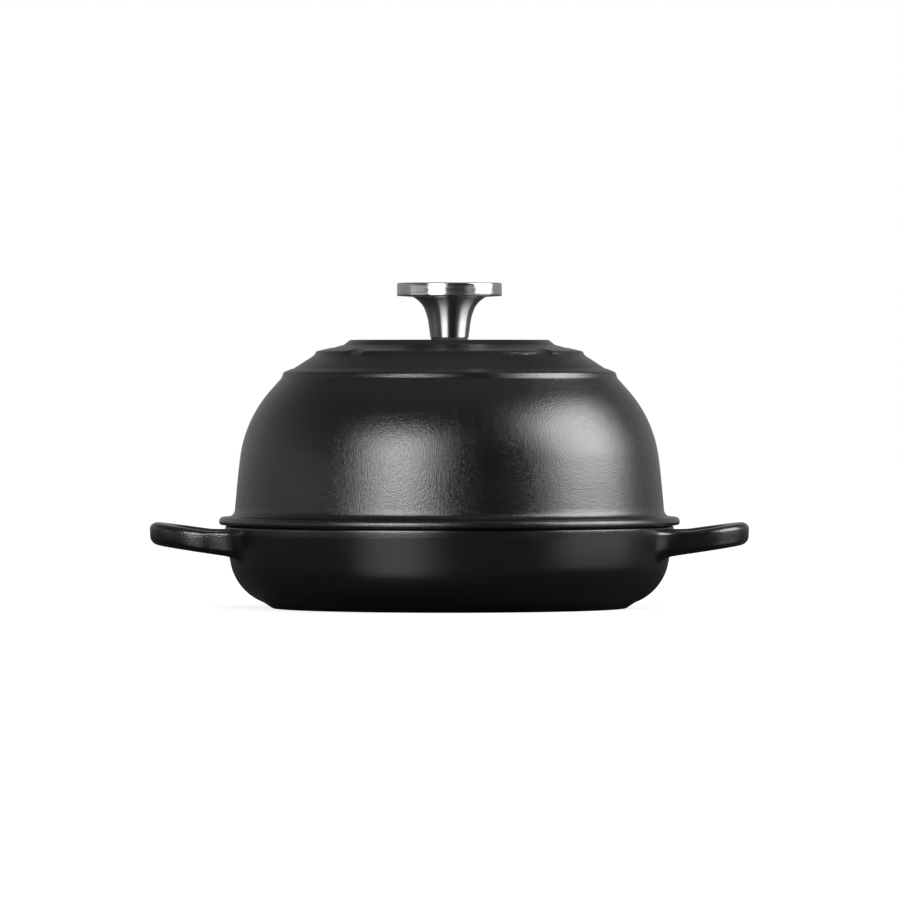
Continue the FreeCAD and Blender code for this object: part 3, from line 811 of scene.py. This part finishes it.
def wall_radius(z):
    """Outside radius of the pan at a height, over the band, the wall and the curve below it."""
    band = RIM_RADIUS - math.tan(math.radians(BAND_DRAFT)) * (RIM_HEIGHT - z)
    wall = band_foot[0] - math.tan(math.radians(PAN_DRAFT)) * (band_foot[1] - z)
    below = max(curve_top - z, 0)
    return min(band, wall) - PAN_CURVE + math.sqrt(PAN_CURVE**2 - below**2)


def arm_point(distance, across, up):
    """Point of the straight arm at a distance from its start."""
    flat = arm_start + arm * distance + arm_side * across
    return Vector((*flat, bar_level(flat.x, up)))


def wall_distance(across, up):
    """How far along the arm its line with that place in the section comes out of the wall."""
    low, high = -SEARCH_REACH, SEARCH_REACH
    for _ in range(SEARCH_STEPS):
        middle = (low + high) / 2
        point = arm_point(middle, across, up)
        if point.xy.length < wall_radius(point.z):
            low = middle
        else:
            high = middle
    return low


def root_line(across, up, normal_up):
    """Points of one line of the bar from inside the wall to the free arm."""
    sideways = (ROOT_OUTSIDE if across > 0 else ROOT_INSIDE) * abs(across) / (HANDLE_GRIP / 2)
    upwards = (ROOT_TOP if normal_up > 0 else ROOT_UNDER) * normal_up**2
    exit_at = wall_distance(across, up)
    corner = arm_point(exit_at, across, up)
    round_wall = Vector((-corner.y, corner.x, 0)).normalized()
    on_wall = corner + round_wall * math.copysign(sideways, across)
    on_wall.z += math.copysign(upwards, normal_up)
    on_wall.xy = on_wall.xy.normalized() * wall_radius(on_wall.z)
    on_arm = arm_point(exit_at + ARM_SHARE * (sideways + upwards), across, up)
    sunk = on_wall.copy()
    sunk.xy = sunk.xy.normalized() * (sunk.xy.length - SUNK)
    curve = []
    for i in range(ROOT_STEPS + 1):
        t = i / ROOT_STEPS
        curve.append(on_wall * (1 - t)**2 + corner * 2 * t * (1 - t) + on_arm * t**2)
    return [sunk] + curve


section = handle_section(0)
root_lines = [root_line(*point) for point in section]
print("root lines:", len(root_lines), "with", len(root_lines[0]), "points each")

# %% [markdown]
# ## Both handles
#
# The rings of points from the root, the free arm, the bend and the grip are joined into one tube, mirrored for
# the other arm and closed inside the wall. The second handle is the first one turned half round. Both become
# part of the pan, because they are one casting with it.

# %% Handles
ROOT_GAP = 0.5

free_from = arm_start + arm * max((line[-1].xy - arm_start).dot(arm) for line in root_lines) + arm * ROOT_GAP
half_rings = [[line[i] for line in root_lines] for i in range(len(root_lines[0]))]
path = handle_path(free_from)
for i, (place, side) in enumerate(path):
    ring = []
    for across, up, _ in handle_section(i / (len(path) - 1)):
        flat = place + side * across
        ring.append(Vector((*flat, bar_level(flat.x, up))))
    half_rings.append(ring)
other_half = [[Vector((point.x, -point.y, point.z)) for point in ring] for ring in reversed(half_rings[:-1])]
rings = half_rings + other_half


def handle_mesh(shell, turn):
    """Adds one handle to a bmesh: a tube of quads, closed at both ends, turned round the pan's axis."""
    rows = []
    for ring in rings:
        points = [Vector((point.x * turn, point.y * turn, point.z)) * MM for point in ring]
        rows.append([shell.verts.new(point) for point in points])
    count = len(section)
    faces = []
    for row, after in zip(rows, rows[1:]):
        for i in range(count):
            j = (i + 1) % count
            faces.append(shell.faces.new((row[i], row[j], after[j], after[i])))
    faces.append(shell.faces.new(rows[0][::-1]))
    faces.append(shell.faces.new(rows[-1]))
    for face in faces:
        face.smooth = True
        face.material_index = pan.data.polygons[0].material_index
    for row in (rows[1], rows[-2]):
        for i in range(count):
            shell.edges.get((row[i], row[(i + 1) % count])).smooth = False
    return faces


shell = bmesh.new()
for turn in (1, -1):
    bmesh.ops.recalc_face_normals(shell, faces=handle_mesh(shell, turn))
print("handles:", len(shell.faces), "faces,", round(shell.calc_volume() * 1e6, 1), "cm3")
shell.from_mesh(pan.data)
shell.to_mesh(pan.data)
shell.free()
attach(pan, "base")
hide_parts("base_pan")

# %% [markdown]
# ## Pieces that keep their CAD shape
#
# Gasket, washers and screw are exact as they come. They only need their finish.

# %% Finish for the small CAD pieces
def refinish(node, material):
    """Puts one material on a CAD node."""
    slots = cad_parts[node].data.materials
    slots.clear()
    slots.append(material)


for node in ("knob_screw", "flat_washer", "spring_washer"):
    refinish(node, FIXING_STEEL)
refinish("knob_gasket", GASKET)
print("finished the screw, both washers and the gasket")

# %% [markdown]
# ## Lamps
#
# Black enamel shows little but its lamps, so the lamps are placed from the highlights. A tall box to the left
# of the camera makes the soft patch on the dome's left, and a larger one at the right makes the patch there.
# Two low, dim cards fill what looks level into the room: the knob's sides, the grips and the flange. The dome
# looks up past them.

# %% Lamps
LAMP_DISTANCE = 1.6
LAMP_AIM = Vector((0, 0, 0.08))


def softbox(name, azimuth, elevation, width, height, radiance):
    """A rectangular lamp that faces the cloche. Azimuth 0 is the camera's side, and 90 is its right."""
    turn, rise = math.radians(azimuth), math.radians(elevation)
    outwards = Vector((math.sin(turn) * math.cos(rise), -math.cos(turn) * math.cos(rise), math.sin(rise)))
    lamp = bpy.data.lights.new(name, "AREA")
    lamp.shape = "RECTANGLE"
    lamp.size = width
    lamp.size_y = height
    lamp.energy = radiance * math.pi * width * height
    stand = bpy.data.objects.new(name, lamp)
    stand.location = LAMP_AIM + LAMP_DISTANCE * outwards
    stand.rotation_euler = (-outwards).to_track_quat("-Z", "Y").to_euler()
    stand.visible_camera = False
    scene.collection.objects.link(stand)
    print(name, round(lamp.energy, 1), "W")


softbox("left_softbox", azimuth=-28.0, elevation=17.4, width=0.92, height=1.0, radiance=7.3)
softbox("right_softbox", azimuth=82, elevation=25.4, width=1.34, height=1.24, radiance=7.0)
softbox("left_card", azimuth=-74, elevation=0.8, width=1.2, height=0.2, radiance=0.7)
softbox("right_card", azimuth=45, elevation=0.8, width=0.42, height=0.2, radiance=0.5)

# %% [markdown]
# ## Room
#
# Behind the object the room is pale, and in front it is dim. It darkens upwards and has some light from the
# ceiling. All of that follows from the direction of a ray, so no wall has to be built. To the camera the
# background is plain white.

# %% Room
FRONT_WALL, BACK_WALL = 0.03, 0.37
HIGH_SHARE = 0.25
CEILING = 0.13

world = bpy.data.worlds.new("studio")
scene.world = world
world.use_nodes = True
room = world.node_tree
room.nodes.clear()
direction = add_node(room, "ShaderNodeSeparateXYZ")
feed(room, add_node(room, "ShaderNodeTexCoord").outputs["Generated"], direction.inputs[0])
away, up = direction.outputs["Y"], direction.outputs["Z"]
depth = ramp(room, away, -0.75, 0.2, FRONT_WALL, BACK_WALL)
height = ramp(room, up, 0.05, 0.85, 1.0, HIGH_SHARE)
ceiling = ramp(room, up, 0.7, 0.95, 0.0, CEILING)
dim = sum_node(room, "ADD", sum_node(room, "MULTIPLY", depth, height), ceiling)
seen = add_node(room, "ShaderNodeLightPath").outputs["Is Camera Ray"]
backdrop = add_node(room, "ShaderNodeBackground")
backdrop.inputs["Color"].default_value = (1, 1, 1, 1)
feed(room, sum_node(room, "MAXIMUM", dim, seen), backdrop.inputs["Strength"])
feed(room, backdrop.outputs[0], add_node(room, "ShaderNodeOutputWorld").inputs["Surface"])
print("room with", len(room.nodes), "nodes")

# %% [markdown]
# ## Floor
#
# The floor is a plain pale sheet. Lit by the lamps it keeps the soft shadow under the pan, and the camera sees
# it brought up to white, more so further out, so that it melts into the background. To all other rays the sheet
# is darker, and outside a circle that lies a little to the right it has a weak gloss. The pan's wall leans out
# and mirrors the floor, so that gloss passes the lamps on to it. Mirrored, the sheet also glows a little far out.

# %% Floor paper
SEEN_GREY, MIRRORED_GREY = 0.3, 0.045
NEAR_WHITE, FULL_WHITE = 0.82, 1.0
FAR_GLOW = 0.06
GLOSS, GLOSS_ROUGHNESS = 0.11, 0.2
GLOSS_MIDDLE = (0.055, 0, 0)

paper = bpy.data.materials.new("floor_paper")
paper.use_nodes = True
sheet = paper.node_tree
sheet.nodes.clear()
floor_place = add_node(sheet, "ShaderNodeTexCoord").outputs["Object"]
rays = add_node(sheet, "ShaderNodeLightPath").outputs
to_camera = rays["Is Camera Ray"]


def distance_from(middle):
    """How far a point of the floor lies from a middle."""
    node = add_node(sheet, "ShaderNodeVectorMath", operation="DISTANCE")
    feed(sheet, floor_place, node.inputs[0])
    feed(sheet, middle, node.inputs[1])
    return node.outputs["Value"]


def both(first, second):
    """Two shaders added up."""
    node = add_node(sheet, "ShaderNodeAddShader")
    feed(sheet, first.outputs[0], node.inputs[0])
    feed(sheet, second.outputs[0], node.inputs[1])
    return node


from_pan = distance_from((0, 0, 0))
white = sum_node(sheet, "MULTIPLY", ramp(sheet, from_pan, 0.095, 0.17, NEAR_WHITE, FULL_WHITE), to_camera)
far = sum_node(sheet, "MULTIPLY", ramp(sheet, from_pan, 0.5, 1.6, 0.0, FAR_GLOW), rays["Is Glossy Ray"])
glow = add_node(sheet, "ShaderNodeEmission")
feed(sheet, sum_node(sheet, "ADD", white, far), glow.inputs["Strength"])
matt = add_node(sheet, "ShaderNodeBsdfDiffuse")
feed(sheet, tint(sheet, (1, 1, 1), MIRRORED_GREY, SEEN_GREY, to_camera), matt.inputs["Color"])
gloss = add_node(sheet, "ShaderNodeBsdfGlossy")
gloss.inputs["Roughness"].default_value = GLOSS_ROUGHNESS
sheen = ramp(sheet, distance_from(GLOSS_MIDDLE), 0.125, 0.16, 0.0, GLOSS)
feed(sheet, sum_node(sheet, "MULTIPLY", sheen, sum_node(sheet, "SUBTRACT", 1, to_camera)), gloss.inputs["Color"])
surface = both(glow, both(matt, gloss)).outputs[0]
feed(sheet, surface, add_node(sheet, "ShaderNodeOutputMaterial").inputs["Surface"])
print("floor paper with", len(sheet.nodes), "nodes")

# %% Floor
FLOOR_RADIUS = 6.0

bpy.ops.mesh.primitive_circle_add(vertices=96, radius=FLOOR_RADIUS, fill_type="NGON")
floor = bpy.context.object
floor.name = "floor"
floor.data.materials.append(paper)
print("floor with a radius of", FLOOR_RADIUS, "m")
